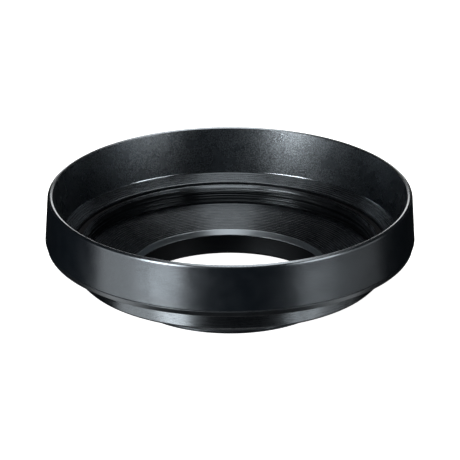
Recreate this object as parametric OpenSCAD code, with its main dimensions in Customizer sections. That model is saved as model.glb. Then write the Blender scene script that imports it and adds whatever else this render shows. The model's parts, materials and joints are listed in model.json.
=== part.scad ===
// Screw-in lens hood: a wide barrel that unscrews from a short threaded mount.
// The origin is the centre of the mount's lower end. +Z is the optical axis, towards the open rim.
// Every piece is a ring turned about Z, drawn as the outline of its cut face: [radius, height] points.

/* [Overall] */
// Height from the mount's lower end to the top of the rim
hood_h = 17.76; // [17.4:0.02:20]

/* [Barrel] */
// Diameter of the ridge along the top of the rim
rim_d = 60; // [59.8:0.1:60.4]
// Width of the sloping land on each side of the ridge
rim_land_w = 0.35; // [0.25:0.01:0.4]
// Fall of those lands away from the ridge
rim_land_fall = 0.15; // [0.05:0.01:0.25]
// Width of the rounded outer edge below the outer land
rim_round_w = 0.17; // [0.1:0.01:0.25]
// Height of the rounded outer edge
rim_round_h = 0.5; // [0.3:0.02:1]
// Largest diameter of the barrel, at its foot
barrel_d = 61.84; // [61.7:0.02:62]
// Height of the barrel's lower end above the mount's lower end
barrel_foot_z = 9.81; // [9.7:0.01:9.9]
// Inside diameter at the barrel's foot
barrel_bore_d = 57.04; // [57:0.02:57.1]

/* [Base ring] */
// Diameter of the base ring's lower edge
base_edge_d = 61.2; // [61:0.05:61.5]
// Height of the base ring's lower edge
base_edge_z = 8.88; // [8.8:0.02:9]
// Outside diameter of the threaded hub
hub_d = 52.4; // [52.2:0.1:52.6]

/* [Threads] */
// Major diameter of the thread that joins the barrel to the mount
joint_thread_d = 51; // [50.9:0.05:51.1]
// Radial clearance in that thread
joint_clearance = 0.05; // [0.02:0.01:0.08]
// Major diameter of the filter thread inside the hood
filter_thread_d = 49; // [49:0.1:49.1]
// Pitch of the filter thread and of the mount thread
fine_pitch = 0.75; // [0.7:0.05:0.75]
// Major diameter of the mount thread that screws into the lens
mount_thread_d = 35.5; // [35.3:0.1:35.7]

/* [Steps and baffles] */
// Height of the step ring's top at its outer edge
step_top_z = 10; // [9.9:0.01:10.1]
// Height of the step ring's top at its inner edge
step_lip_z = 9.04; // [8.95:0.01:9.1]
// Inside diameter of the step ring
step_bore_d = 52.66; // [52.6:0.02:52.7]
// Grooves turned in the step ring's top
step_grooves = 5; // [3:1:7]
// Height of the baffle disc's top at its outer edge
baffle_top_z = 6.08; // [6.05:0.01:6.15]
// Height of the baffle disc's top at its aperture
baffle_lip_z = 4.24; // [4.2:0.02:4.3]
// Diameter of the aperture over its bevel
aperture_d = 33.4; // [33.3:0.1:33.5]
// Grooves turned in the baffle disc's top
baffle_grooves = 17; // [10:1:20]

/* [Neck] */
// Outside diameter of the neck below the barrel
neck_d = 51.74; // [51.6:0.02:51.8]
// Height of the neck's lower face
neck_foot_z = 4.26; // [4.22:0.01:4.28]

/* [Hidden] */

// circles finer than this count as true curves
$fn = 180;
// gap left between a piece and the seat that holds it
fit_gap = 0.02;
// how deep a turned groove is, as a share of its width
groove_depth_ratio = 0.4;
// depth of a metric thread, as a share of its pitch
thread_depth_ratio = 0.5413;
// how far a cutter runs past the face it cuts
cut_over = 1;

// barrel
rim_r = rim_d / 2;
barrel_r = barrel_d / 2;
barrel_bore_r = barrel_bore_d / 2;
rim_land_z = hood_h - rim_land_fall;
rim_inner_r = rim_r - rim_land_w;
rim_outer_r = rim_r + rim_land_w;
rim_round_steps = 8;
foot_chamfer = 0.14;

// skirt that locates the barrel in the base ring
skirt_r = 29.3;
skirt_foot_z = 9.0;

// base ring, a hair narrower than the barrel above it
base_step_in = 0.1;
base_top_r = barrel_r - base_step_in;
base_edge_r = base_edge_d / 2;
base_cone_r = 26.9;
base_cone_z = 7.45;
hub_r = hub_d / 2;
hub_foot_z = 6.95;
hub_bore_r = joint_thread_d / 2 + joint_clearance;
seat_z = 8.6;
seal_seat_z = 8.25;

// step ring and seal
press_gap = 0.05;
step_outer_r = barrel_bore_r - press_gap;
step_bore_r = step_bore_d / 2;
step_face_margin = 0.12;
seal_inner_r = 25.05;
seal_outer_r = 26.2;
seal_top_z = 8.55;

// neck ring
joint_r = joint_thread_d / 2;
joint_foot_z = 6.9;
joint_top_z = 8.15;
pilot_r = 24.97;
pilot_top_z = 9.15;
filter_major_r = filter_thread_d / 2;
thread_depth = thread_depth_ratio * fine_pitch;
filter_minor_r = filter_major_r - thread_depth;
lead_in_z = 8.7;
filter_foot_z = 6.15;
filter_relief_foot_z = 6.52;
filter_relief_top_z = 7.1;
neck_r = neck_d / 2;
neck_chamfer = 0.45;
neck_bore_r = 25.0;

// baffle disc
aperture_r = aperture_d / 2;
bevel_r = 16.2;
bevel_foot_z = 3.36;
disc_r = neck_bore_r - fit_gap;
disc_face_r = 24.0;
disc_rim_z = 5.5;
clamp_r = 23.9;
web_top_r = 18.2;
web_top_z = 3.34;
baffle_face_margin = 0.15;

// mount sleeve, whose external thread is cut a little deeper than an internal one
external_depth_ratio = 1.1;
mount_major_r = mount_thread_d / 2;
mount_minor_r = mount_major_r - thread_depth * external_depth_ratio;
mount_thread_top_z = 1.9;
relief_top_z = 2.3;
sleeve_bore_top_r = 16.16;
sleeve_bore_foot_r = 15.86;
sleeve_bore_foot_z = 0.54;
mount_chamfer = 0.3;
flange_rim_z = 4.9;
web_foot_r = 18.9;
web_foot_z = 2.6;

// retaining ring
ring_foot_z = 4.3;
ring_top_z = flange_rim_z - fit_gap;
ring_slots = 4;
ring_slot_w = 1.2;
ring_slot_depth = 0.35;
ring_slot_reach = 0.6;

// Point at share t of the way from a to b
function between(a, b, t) = a + (b - a) * t;

// Points of a face from a to b with n V grooves cut into it, each deeper towards the side of normal
function grooved_face(a, b, n, normal) =
    let (width = norm(b - a) / n)
    [for (i = [0:n - 1]) each [
        between(a, b, i / n),
        between(a, b, (i + 0.5) / n) - normal * width * groove_depth_ratio
    ]];

// Points of a quarter of an ellipse about centre, from its top to its outer side
function quarter_round(centre, rx, ry, steps) =
    [for (i = [0:steps]) let (a = 90 - 90 * i / steps) centre + [rx * cos(a), ry * sin(a)]];

// Ring turned about Z from the outline of its cut face
module turned(outline) {
    rotate_extrude()
        polygon(outline);
}

module hood_barrel() {
    color("dimgray")
        turned(concat(
            [[barrel_bore_r, skirt_foot_z], [barrel_bore_r, step_top_z]],
            [[rim_inner_r, rim_land_z], [rim_r, hood_h]],
            quarter_round([rim_outer_r, rim_land_z - rim_round_h], rim_round_w, rim_round_h, rim_round_steps),
            [[barrel_r, barrel_foot_z + foot_chamfer], [barrel_r - foot_chamfer, barrel_foot_z]],
            [[skirt_r, barrel_foot_z], [skirt_r, skirt_foot_z]]
        ));
}

module base_ring() {
    wall_r = skirt_r + fit_gap;
    inner_r = barrel_bore_r - fit_gap;
    color("darkslategray")
        turned([
            [hub_bore_r, hub_foot_z], [hub_r, hub_foot_z], [hub_r, base_cone_z], [base_cone_r, base_cone_z],
            [base_edge_r, base_edge_z], [base_top_r, barrel_foot_z - fit_gap],
            [wall_r, barrel_foot_z - fit_gap], [wall_r, skirt_foot_z - fit_gap],
            [inner_r, skirt_foot_z - fit_gap], [inner_r, seat_z],
            [step_bore_r, seat_z], [step_bore_r, seal_seat_z], [hub_bore_r, seal_seat_z]
        ]);
}

module step_ring() {
    high = [step_outer_r, step_top_z];
    low = [step_bore_r, step_lip_z];
    along = (low - high) / norm(low - high);
    normal = [along.y, -along.x];
    face_start = high + along * step_face_margin;
    face_end = low - along * step_face_margin;
    color("slategray")
        turned(concat(
            [[step_outer_r, seat_z], high],
            grooved_face(face_start, face_end, step_grooves, normal),
            [face_end, low, [step_bore_r, seat_z]]
        ));
}

module light_seal() {
    color("black")
        turned([
            [seal_inner_r, seal_seat_z], [seal_inner_r, seal_top_z],
            [seal_outer_r, seal_top_z], [seal_outer_r, seal_seat_z]
        ]);
}

module neck_ring() {
    color("gray")
        turned([
            [filter_minor_r, filter_foot_z], [filter_minor_r, filter_relief_foot_z],
            [filter_major_r, filter_relief_foot_z], [filter_major_r, filter_relief_top_z],
            [filter_minor_r, filter_relief_top_z], [filter_minor_r, lead_in_z - thread_depth],
            [filter_major_r, lead_in_z], [pilot_r, pilot_top_z],
            [pilot_r, joint_top_z], [joint_r, joint_top_z], [joint_r, joint_foot_z], [neck_r, joint_foot_z],
            [neck_r, neck_foot_z + neck_chamfer], [neck_r - neck_chamfer, neck_foot_z],
            [neck_bore_r, neck_foot_z], [neck_bore_r, filter_foot_z]
        ]);
}

module baffle_disc() {
    outer = [disc_face_r, baffle_top_z];
    inner = [aperture_r, baffle_lip_z];
    along = (inner - outer) / norm(inner - outer);
    normal = [along.y, -along.x];
    face_start = outer + along * baffle_face_margin;
    face_end = inner - along * baffle_face_margin;
    color("dimgray")
        turned(concat(
            [[disc_r, disc_rim_z], [disc_r, baffle_top_z], outer],
            grooved_face(face_start, face_end, baffle_grooves, normal),
            [face_end, inner, [bevel_r, bevel_foot_z], [web_top_r, web_top_z], [clamp_r, disc_rim_z]]
        ));
}

module mount_sleeve() {
    top_z = web_top_z - fit_gap;
    color("silver")
        turned([
            [sleeve_bore_foot_r + sleeve_bore_foot_z, 0], [sleeve_bore_foot_r, sleeve_bore_foot_z],
            [sleeve_bore_top_r, top_z], [web_top_r, top_z],
            [clamp_r, disc_rim_z - fit_gap], [disc_r, disc_rim_z - fit_gap], [disc_r, flange_rim_z],
            [clamp_r, flange_rim_z], [web_foot_r, web_foot_z], [mount_major_r, relief_top_z],
            [mount_minor_r, relief_top_z], [mount_minor_r, mount_thread_top_z],
            [mount_major_r, mount_thread_top_z], [mount_major_r, mount_chamfer],
            [mount_major_r - mount_chamfer, 0]
        ]);
}

module retaining_ring() {
    color("darkgray")
        difference() {
            turned([
                [clamp_r, ring_foot_z], [disc_r, ring_foot_z],
                [disc_r, ring_top_z], [clamp_r, ring_top_z]
            ]);
            for (i = [0:ring_slots - 1])
                rotate(i * 360 / ring_slots)
                    translate([clamp_r - cut_over, -ring_slot_w / 2, ring_foot_z - cut_over])
                        cube([cut_over + ring_slot_reach, ring_slot_w, cut_over + ring_slot_depth]);
        }
}

hood_barrel();
base_ring();
step_ring();
light_seal();
neck_ring();
baffle_disc();
mount_sleeve();
retaining_ring();
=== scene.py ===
"""Looks for the lens hood: finely turned rings, thread helices, black anodised finishes, studio and camera.

Every ring's outline is read from its CAD node, so the pieces here follow the CAD. Their corners are rounded,
the threads become true helices, and the rings get many more segments than the CAD mesh has. Names that end
in _MM are in millimetres, and so are the outlines and the threads.
"""
import json
import math

import bpy
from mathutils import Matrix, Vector

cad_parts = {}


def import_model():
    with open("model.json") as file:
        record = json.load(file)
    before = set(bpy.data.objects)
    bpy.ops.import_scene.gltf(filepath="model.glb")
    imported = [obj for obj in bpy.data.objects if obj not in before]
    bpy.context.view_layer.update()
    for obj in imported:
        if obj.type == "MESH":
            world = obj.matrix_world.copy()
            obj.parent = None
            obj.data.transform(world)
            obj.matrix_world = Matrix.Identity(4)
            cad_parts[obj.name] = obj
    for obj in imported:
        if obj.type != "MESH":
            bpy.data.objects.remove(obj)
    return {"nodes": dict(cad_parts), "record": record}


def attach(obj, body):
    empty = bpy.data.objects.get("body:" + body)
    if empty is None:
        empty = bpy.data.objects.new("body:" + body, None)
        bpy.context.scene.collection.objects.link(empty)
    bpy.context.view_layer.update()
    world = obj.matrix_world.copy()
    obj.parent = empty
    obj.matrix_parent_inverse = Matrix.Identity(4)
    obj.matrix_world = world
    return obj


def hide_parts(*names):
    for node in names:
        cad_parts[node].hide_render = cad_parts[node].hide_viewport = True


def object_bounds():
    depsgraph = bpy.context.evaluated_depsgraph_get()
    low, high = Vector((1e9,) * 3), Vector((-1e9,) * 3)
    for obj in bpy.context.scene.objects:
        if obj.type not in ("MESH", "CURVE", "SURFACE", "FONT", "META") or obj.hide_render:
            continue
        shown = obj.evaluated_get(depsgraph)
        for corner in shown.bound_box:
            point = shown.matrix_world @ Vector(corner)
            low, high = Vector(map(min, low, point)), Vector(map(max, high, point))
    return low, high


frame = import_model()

MM = 0.001
TURN = 2 * math.pi
SEGMENTS = 384

# outlines: points this close are the same corner, and heights or radii this close are the same wall
SAME_CORNER_MM, SAME_WALL_MM = 0.012, 0.02
# rounded corners: flattest turn that is rounded, longest share of a side, and the flat lead before each
FLATTEST_TURN, LONGEST_REACH = math.radians(4), 0.4
LEAD_OF_REACH, LEAD_OF_SIDE = 0.25, 0.05

# threads: shares of the half pitch that are crest and flank, rows of points in each pitch, and how far those
# may lie from the wall and past its ends
PITCH = 0.75
THREAD_DEPTH = 0.5413 * PITCH
CREST_SHARE, FLANK_SHARE = 0.12, 0.78
ROWS_PER_PITCH = 20
WALL_MARGIN_MM, END_MARGIN_MM = 0.03, 0.05
# share of a turn from +X to the back, where the crests' heights are given
TO_BACK = 0.25

# fillet at the foot of the barrel's bore, and its clearance over the step ring
FILLET_MM, FILLET_LEAN = 0.12, math.radians(20)
FILLET_CLEARANCE_MM = 0.01
# the bright finish covers the bore's faces within this radius, along the fillet
FILLET_RADIUS_MM = 28.8

# finishes: how fast turning lines change along the circle, and how height counts against radius across them
ALONG_LINES, HEIGHT_ACROSS_LINES = 0.0004, 1.37
# size of the faint clouds and of the blasted grain, and the grain's depth
CLOUD_MM, GRAIN_MM, GRAIN_DEPTH_MM = 2.5, 0.20, 0.020
# most noise values fall between these
NOISE_LOW, NOISE_HIGH = 0.3, 0.7
SPARKLE_LOW, SPARKLE_HIGH = 0.25, 0.8
# how much clouds and lines change the roughness, how much clouds and rounded corners lighten the tone (on the
# corners this is a painted highlight), and the lighter tone they lead to
CLOUD_ROUGHNESS, LINE_ROUGHNESS = 0.015, 0.03
CLOUD_SHADE, EDGE_HIGHLIGHT = 0.35, 0.5
LIGHTER_TIMES, LIGHTER_PLUS = 1.5, 0.001
BLUE_TINT = (0.83, 0.925, 1.0, 1)

LIGHT_DISTANCE = 0.6

cad_low, cad_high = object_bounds()
body_of_node = {n: b for b, nodes in frame["record"]["behaviour"]["bodies"].items() for n in nodes}
mount_of = {m["name"]: m for m in frame["record"]["mounts"]}


# ---------------------------------------------------------------- outlines, in mm

def outline_of(node):
    """The cut face of a turned CAD node, as (radius, height) corners in order with the metal on the left."""
    mesh = frame["nodes"][node].data
    corners, corner_at = {}, []
    for v in mesh.vertices:
        point = (math.hypot(v.co.x, v.co.y) / MM, v.co.z / MM)
        key = next((k for k in corners if math.dist(k, point) < SAME_CORNER_MM), point)
        corners.setdefault(key, set())
        corner_at.append(key)
    for edge in mesh.edges:
        a, b = (corner_at[i] for i in edge.vertices)
        if a != b:
            corners[a].add(b)
            corners[b].add(a)
    loop = [min(corners, key=lambda k: (k[1], k[0]))]
    while len(loop) < len(corners):
        loop.append(next(k for k in sorted(corners[loop[-1]], reverse=True) if k not in loop))
    area = sum(a[0] * b[1] - b[0] * a[1] for a, b in zip(loop, loop[1:] + loop[:1]))
    return loop if area > 0 else loop[::-1]


def rounded(outline, radius, steps=4):
    """The outline with rounded corners, as (radius, height, edge), where edge is 1 on a rounded corner."""
    result = []
    count = len(outline)
    for i, corner in enumerate(outline):
        here = Vector(corner)
        before, after = Vector(outline[i - 1]) - here, Vector(outline[(i + 1) % count]) - here
        turn = math.pi - before.angle(after)
        reach = min(radius * math.tan(turn / 2), LONGEST_REACH * before.length, LONGEST_REACH * after.length)
        if turn < FLATTEST_TURN:
            result.append((here.x, here.y, 0.0))
            continue
        start, end = here + before.normalized() * reach, here + after.normalized() * reach
        lead = LEAD_OF_REACH * reach
        lead_in = start + before.normalized() * min(lead, LEAD_OF_SIDE * before.length)
        lead_out = end + after.normalized() * min(lead, LEAD_OF_SIDE * after.length)
        result.append((lead_in.x, lead_in.y, 0.0))
        for k in range(steps + 1):
            t = k / steps
            p = start * (1 - t) ** 2 + here * 2 * t * (1 - t) + end * t ** 2
            result.append((p.x, p.y, 1.0))
        result.append((lead_out.x, lead_out.y, 0.0))
    return result


def with_fillet(outline, foot, size, lean):
    """The outline with a narrow fillet on the bore above that height, which leans in by that angle."""
    result = []
    for a, b in zip(outline, outline[1:] + outline[:1]):
        result.append(a)
        if a[1] > foot + size and abs(b[1] - foot) < SAME_WALL_MM and b[0] < a[0]:
            t = (foot + size - a[1]) / (b[1] - a[1])
            top = a[0] + (b[0] - a[0]) * t
            result += [(top, foot + size), (top - size * math.tan(lean), foot + FILLET_CLEARANCE_MM)]
    return result


def split_between(outline, thread):
    """Adds closely spaced points to the walls that the thread is cut from."""
    result = []
    count = len(outline)
    for i, a in enumerate(outline):
        b = outline[(i + 1) % count]
        result.append(a)
        near = all(abs(p[0] - thread.radius) < THREAD_DEPTH + WALL_MARGIN_MM for p in (a, b))
        low, high = sorted((a[1], b[1]))
        if near and low >= thread.low - END_MARGIN_MM and high <= thread.high + END_MARGIN_MM:
            parts = int((high - low) / (PITCH / ROWS_PER_PITCH))
            result += [tuple(p + (q - p) * k / parts for p, q in zip(a, b)) for k in range(1, parts)]
    return result


# ---------------------------------------------------------------- threads

class Thread:
    """A right-handed V thread cut from a wall of that radius, with a crest at that height at the back.

    side is 1 where the thread is cut outwards and -1 where it is cut inwards.
    """

    def __init__(self, radius, low, high, crest, side):
        self.radius, self.low, self.high, self.crest, self.side = radius, low, high, crest, side

    def cut(self, radius, height, angle):
        """The radius of the surface where the groove crosses an outline point of that radius."""
        if not self.low <= height <= self.high:
            return radius
        turns = (height - self.crest) / PITCH - (angle / TURN - TO_BACK)
        from_crest = 2 * abs((turns + 0.5) % 1.0 - 0.5)
        t = min(max((from_crest - CREST_SHARE) / FLANK_SHARE, 0.0), 1.0)
        floor = self.radius + self.side * THREAD_DEPTH * t * t * (3 - 2 * t)
        return max(radius, floor) if self.side > 0 else min(radius, floor)


# ---------------------------------------------------------------- meshes

def turned(name, node, outline, thread=None):
    """A closed ring turned about Z from an outline of (radius, height, edge), standing for that CAD node."""
    verts, edge_values, faces = [], [], []
    rows = len(outline)
    for s in range(SEGMENTS):
        angle = TURN * s / SEGMENTS
        for radius, height, edge in outline:
            if thread and abs(radius - thread.radius) < THREAD_DEPTH + SAME_WALL_MM:
                radius = thread.cut(radius, height, angle)
            verts.append((radius * MM * math.cos(angle), radius * MM * math.sin(angle), height * MM))
            edge_values.append(edge)
        following = (s + 1) % SEGMENTS
        for k in range(rows):
            up = (k + 1) % rows
            faces.append((s * rows + k, following * rows + k, following * rows + up, s * rows + up))
    mesh = bpy.data.meshes.new(name)
    mesh.from_pydata(verts, [], faces)
    mesh.shade_smooth()
    attribute = mesh.attributes.new("edge", "FLOAT", "POINT")
    attribute.data.foreach_set("value", edge_values)
    piece = bpy.data.objects.new(name, mesh)
    bpy.context.scene.collection.objects.link(piece)
    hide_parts(node)
    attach(piece, body_of_node[node])
    return piece


# ---------------------------------------------------------------- materials

class Nodes:
    """Short calls for building a shader tree."""

    def __init__(self, name):
        self.material = bpy.data.materials.new(name)
        self.material.use_nodes = True
        self.tree = self.material.node_tree
        self.shader = self.tree.nodes["Principled BSDF"]

    def add(self, kind, **settings):
        node = self.tree.nodes.new(kind)
        for key, value in settings.items():
            setattr(node, key, value)
        return node

    def link(self, source, target):
        self.tree.links.new(source, target)

    def split(self, vector):
        node = self.add("ShaderNodeSeparateXYZ")
        self.link(vector, node.inputs[0])
        return tuple(node.outputs)

    def math(self, operation, a, b=None):
        node = self.add("ShaderNodeMath", operation=operation)
        for socket, value in zip(node.inputs, (a, b)):
            if isinstance(value, (int, float)):
                socket.default_value = value
            elif value is not None:
                self.link(value, socket)
        return node.outputs[0]

    def noise(self, vector, size_mm, detail=2.0):
        """Noise whose features are about size_mm across, from 0 to 1."""
        node = self.add("ShaderNodeTexNoise")
        self.link(vector, node.inputs["Vector"])
        node.inputs["Scale"].default_value = 1 / (size_mm * MM)
        node.inputs["Detail"].default_value = detail
        return node.outputs["Fac"]

    def ramp(self, value, low, high, out_low, out_high):
        node = self.add("ShaderNodeMapRange", interpolation_type="SMOOTHSTEP")
        self.link(value, node.inputs["Value"])
        for key, number in zip(("From Min", "From Max", "To Min", "To Max"), (low, high, out_low, out_high)):
            node.inputs[key].default_value = number
        return node.outputs["Result"]

    def colour(self, factor, a, b):
        node = self.add("ShaderNodeMix", data_type="RGBA")
        self.link(factor, node.inputs["Factor"])
        node.inputs["A"].default_value = (*a, 1)
        node.inputs["B"].default_value = (*b, 1)
        return node.outputs["Result"]

    def bump(self, height, depth_mm, strength=1.0):
        node = self.add("ShaderNodeBump")
        self.link(height, node.inputs["Height"])
        node.inputs["Strength"].default_value = strength
        node.inputs["Distance"].default_value = depth_mm * MM
        return node.outputs["Normal"]


def lathe_coordinates(n, position):
    """Coordinates that change fast across the turning lines and slowly along them."""
    x, y, z = n.split(position)
    radius = n.math("SQRT", n.math("ADD", n.math("MULTIPLY", x, x), n.math("MULTIPLY", y, y)))
    across = n.math("ADD", radius, n.math("MULTIPLY", z, HEIGHT_ACROSS_LINES))
    joined = n.add("ShaderNodeCombineXYZ")
    n.link(across, joined.inputs["X"])
    for coordinate, socket in ((x, "Y"), (y, "Z")):
        n.link(n.math("MULTIPLY", n.math("DIVIDE", coordinate, radius), ALONG_LINES), joined.inputs[socket])
    return joined.outputs["Vector"]


def anodised(name, tone, roughness, ior, shine=0.5, grain=0.0, line_mm=0.0, line_depth=0.0, brushed=0.0):
    """Black anodised aluminium, either blasted or turned.

    grain is how strongly it is blasted. Turning lines have a width and a depth in millimetres, and brushed
    stretches the highlights across them. Each finish is given one of the two.
    """
    n = Nodes(name)
    position = n.add("ShaderNodeTexCoord").outputs["Object"]
    cloud = n.noise(position, CLOUD_MM, 3.0)
    edge = n.add("ShaderNodeAttribute", attribute_name="edge").outputs["Fac"]
    lighter = tuple(c * LIGHTER_TIMES + LIGHTER_PLUS for c in tone)
    # the rounded corners' lighter tone is a painted highlight along the edges, while the clouds' lighter
    # patches are the metal's own random tone
    shade = n.math("ADD", n.math("MULTIPLY", cloud, CLOUD_SHADE), n.math("MULTIPLY", edge, EDGE_HIGHLIGHT))
    n.link(n.colour(shade, tone, lighter), n.shader.inputs["Base Color"])
    rough = n.ramp(cloud, NOISE_LOW, NOISE_HIGH, roughness - CLOUD_ROUGHNESS, roughness + CLOUD_ROUGHNESS)
    n.shader.inputs["Specular IOR Level"].default_value = shine
    if grain:
        normal = n.bump(n.noise(position, GRAIN_MM, 1.0), GRAIN_DEPTH_MM, grain)
        speckle = n.noise(position, GRAIN_MM, 0.0)
        sparkle = n.ramp(speckle, SPARKLE_LOW, SPARKLE_HIGH, 1 - grain / 2, 1 + grain / 2)
        n.link(n.math("MULTIPLY", sparkle, shine), n.shader.inputs["Specular IOR Level"])
    else:
        lines = n.noise(lathe_coordinates(n, position), line_mm, 2.0)
        normal = n.bump(lines, line_depth)
        rough = n.math("ADD", rough, n.ramp(lines, NOISE_LOW, NOISE_HIGH, -LINE_ROUGHNESS, LINE_ROUGHNESS))
    if brushed:
        tangent = n.add("ShaderNodeTangent", direction_type="RADIAL", axis="Z")
        n.link(tangent.outputs[0], n.shader.inputs["Tangent"])
        n.shader.inputs["Anisotropic"].default_value = brushed
        n.shader.inputs["Anisotropic Rotation"].default_value = 0.25
    n.link(rough, n.shader.inputs["Roughness"])
    n.link(normal, n.shader.inputs["Normal"])
    n.shader.inputs["IOR"].default_value = ior
    n.shader.inputs["Specular Tint"].default_value = BLUE_TINT
    return n.material


def rubber(name):
    """Matt black rubber with a fine speckle."""
    n = Nodes(name)
    position = n.add("ShaderNodeTexCoord").outputs["Object"]
    speckle = n.noise(position, 0.3, 2.0)
    n.link(n.colour(speckle, (0.003, 0.003, 0.0035), (0.006, 0.006, 0.007)), n.shader.inputs["Base Color"])
    n.link(n.bump(n.noise(position, 0.12, 1.0), 0.006), n.shader.inputs["Normal"])
    n.shader.inputs["Roughness"].default_value = 0.85
    n.shader.inputs["Specular IOR Level"].default_value = 0.1
    return n.material


blasted = anodised("blasted_black", (0.0006, 0.0012, 0.0020), 0.24, 1.75, grain=0.2)
blasted_inside = anodised("coarse_blasted_black", (0.0006, 0.0012, 0.0020), 0.28, 1.75, shine=0.75, grain=0.9)
smooth = anodised("smooth_black", (0.0008, 0.0010, 0.0013), 0.30, 1.6, line_mm=0.08, line_depth=0.001)
stepped = anodised("stepped_black", (0.0020, 0.0025, 0.0032), 0.28, 1.95, line_mm=0.06, line_depth=0.002,
                   brushed=0.1)
baffled = anodised("baffled_black", (0.0020, 0.0025, 0.0032), 0.28, 1.62, line_mm=0.06, line_depth=0.002,
                   brushed=0.1)
bevelled = anodised("bevelled_black", (0.0020, 0.0025, 0.0032), 0.34, 1.75, shine=2.1, line_mm=0.06,
                    line_depth=0.002)
turned_finish = anodised("turned_black", (0.0008, 0.0010, 0.0013), 0.28, 2.05, line_mm=0.10,
                         line_depth=0.0015, brushed=0.8)
filter_threaded = anodised("filter_thread_black", (0.0008, 0.0010, 0.0013), 0.20, 2.05, shine=0.28,
                           line_mm=0.10, line_depth=0.0015)
threaded = anodised("threaded_black", (0.0016, 0.0020, 0.0026), 0.32, 1.6, line_mm=0.06, line_depth=0.001)
matt_bore = anodised("matt_bore_black", (0.0004, 0.0006, 0.0010), 0.50, 1.5, shine=0.08, line_mm=0.06,
                     line_depth=0.001)
bright_edge = anodised("bright_edge_black", (0.0020, 0.0025, 0.0032), 0.17, 2.2, shine=0.75, line_mm=0.06,
                       line_depth=0.0005)
seal_rubber = rubber("seal_rubber")


# ---------------------------------------------------------------- pieces

def dress(piece, material, inside=None, within_mm=0.0):
    """Gives a piece its finish, and another one to its faces that are within that radius."""
    if piece.material_slots:
        piece.material_slots[0].material = material
    else:
        piece.data.materials.append(material)
    if inside:
        piece.data.materials.append(inside)
        for face in piece.data.polygons:
            face.material_index = int(math.hypot(face.center.x, face.center.y) < within_mm * MM)
    return piece


def polish(piece, material, foot_mm, top_mm, within_mm):
    """Gives a bright finish to a narrow band of a piece's bore, between those heights."""
    piece.data.materials.append(material)
    for face in piece.data.polygons:
        radius = math.hypot(face.center.x, face.center.y)
        if radius < within_mm * MM and foot_mm * MM < face.center.z < top_mm * MM:
            face.material_index = len(piece.data.materials) - 1


def mount_thread():
    """The male thread on the sleeve, over the length given by its mount."""
    mount = mount_of["mount_thread"]
    radius, length = mount["dims"]["r_mm"], mount["dims"]["length_mm"]
    top = length + min(p[1] for p in outline_of("mount_sleeve") if abs(p[0] - radius) < SAME_WALL_MM)
    return Thread(radius, 0.0, top, top - PITCH, -1)


def filter_thread():
    """The female thread inside the neck, between its relief groove and the top of its lead-in."""
    radius = mount_of["filter_thread"]["dims"]["r_mm"]
    heights = sorted(p[1] for p in outline_of("neck_ring") if abs(p[0] - radius) < SAME_WALL_MM)
    return Thread(radius, heights[-2], heights[-1] + THREAD_DEPTH, heights[-1], 1)


def ring(node, material, corner_mm, thread=None, steps=4, inside=None, within_mm=0.0, fillet_foot=None):
    """A CAD ring as a finely turned piece. Its faces within within_mm of the axis get the finish inside."""
    outline = outline_of(node)
    if fillet_foot:
        outline = with_fillet(outline, fillet_foot, FILLET_MM, FILLET_LEAN)
    outline = rounded(outline, corner_mm, steps)
    if thread:
        outline = split_between(outline, thread)
    return dress(turned(node + "_turned", node, outline, thread), material, inside, within_mm)


# the second finishes cover the barrel's bore, the filter thread, the aperture's bevel and the sleeve's bore
step_top_mm = max(height for radius, height in outline_of("step_ring"))
barrel = ring("hood_barrel", blasted, 0.10, inside=blasted_inside, within_mm=29.62, fillet_foot=step_top_mm)
polish(barrel, bright_edge, step_top_mm, step_top_mm + FILLET_MM, FILLET_RADIUS_MM)
ring("base_ring", smooth, 0.10)
ring("step_ring", stepped, 0.07, steps=3)
ring("light_seal", seal_rubber, 0.10)
ring("neck_ring", turned_finish, 0.06, filter_thread(), inside=filter_threaded, within_mm=24.6)
ring("baffle_disc", baffled, 0.07, steps=3, inside=bevelled, within_mm=16.75)
ring("mount_sleeve", threaded, 0.06, mount_thread(), inside=matt_bore, within_mm=16.6)
dress(frame["nodes"]["retaining_ring"], smooth)


# ---------------------------------------------------------------- studio

def white_stage():
    """A white floor under a white dome, neither of which lights the hood or shows in its reflections."""
    n = Nodes("stage_white")
    n.shader.inputs["Base Color"].default_value = (0.9, 0.9, 0.9, 1)
    n.shader.inputs["Roughness"].default_value = 0.9
    n.shader.inputs["Emission Color"].default_value = (1, 1, 1, 1)
    n.shader.inputs["Emission Strength"].default_value = 0.95
    bpy.ops.mesh.primitive_plane_add(size=6, location=(0, 0, cad_low.z - 0.00005))
    floor = bpy.context.object
    floor.name = "floor"
    bpy.ops.mesh.primitive_uv_sphere_add(segments=64, ring_count=32, radius=2.9)
    dome = bpy.context.object
    dome.name = "dome"
    for thing in (floor, dome):
        thing.data.materials.append(n.material)
        thing.visible_glossy = False
        thing.visible_diffuse = False
        thing.visible_shadow = False


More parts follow.
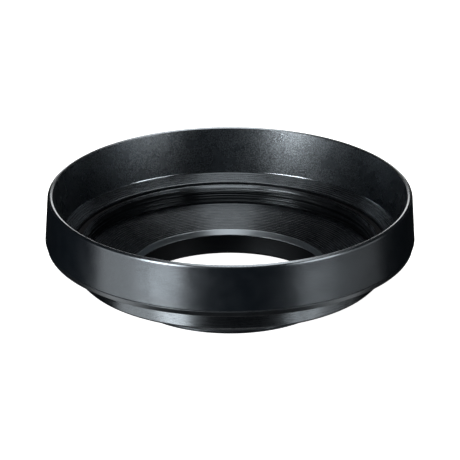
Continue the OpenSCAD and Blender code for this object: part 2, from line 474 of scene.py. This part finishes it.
def softbox(name, azimuth, elevation, width, height, power):
    """A soft light aimed at the hood, sized in metres with its power in watts.

    Azimuth 0 is the camera's side and positive is to the right.
    """
    light = bpy.data.lights.new(name, "AREA")
    light.shape = "RECTANGLE"
    light.size, light.size_y, light.energy = width, height, power
    lamp = bpy.data.objects.new(name, light)
    a, e = math.radians(azimuth), math.radians(elevation)
    centre = (cad_low + cad_high) / 2
    away = Vector((math.sin(a) * math.cos(e), -math.cos(a) * math.cos(e), math.sin(e)))
    lamp.location = centre + away * LIGHT_DISTANCE
    lamp.rotation_euler = away.to_track_quat("Z", "Y").to_euler()
    lamp.visible_camera = False
    bpy.context.scene.collection.objects.link(lamp)


def camera():
    """A long lens from slightly above, aimed so that the hood is centred in the frame."""
    distance, elevation, tilt_down = 0.9, math.radians(22.58), math.radians(0.384)
    cam = bpy.data.cameras.new("camera")
    cam.lens, cam.sensor_width = 421.9, 36
    cam.clip_end = 20
    holder = bpy.data.objects.new("camera", cam)
    rim_centre = Vector((0, 0, cad_high.z))
    holder.location = rim_centre + Vector((0, -math.cos(elevation), math.sin(elevation))) * distance
    holder.rotation_euler = (math.pi / 2 - elevation - tilt_down, 0, 0)
    bpy.context.scene.collection.objects.link(holder)
    bpy.context.scene.camera = holder


def world():
    """A nearly black surround, so that only the softboxes show in the metal."""
    scene_world = bpy.data.worlds.new("studio")
    scene_world.use_nodes = True
    scene_world.node_tree.nodes["Background"].inputs["Color"].default_value = (0.9, 0.95, 1, 1)
    scene_world.node_tree.nodes["Background"].inputs["Strength"].default_value = 0.004
    bpy.context.scene.world = scene_world


white_stage()
world()
camera()
softbox("left_softbox", -41, 3, 0.24, 0.32, 7.4)
softbox("left_fill", -70, -8, 0.34, 0.30, 0.7)
softbox("right_softbox", 54, 3, 0.28, 0.32, 2.7)
softbox("right_fill", 86, -6, 0.34, 0.24, 0.25)
softbox("front_softbox", 1, 50, 0.40, 0.40, 1.35)
softbox("overhead_softbox", 173, 64, 0.26, 0.24, 1.8)
softbox("back_softbox", 180, 6, 0.30, 0.34, 1.0)
softbox("table_bounce", 0, -85, 0.50, 0.26, 0.4)
softbox("low_left_bounce", -80, -38, 0.30, 0.20, 0.6)
softbox("low_right_bounce", 80, -40, 0.30, 0.20, 0.35)
bpy.context.scene.view_settings.view_transform = "Standard"
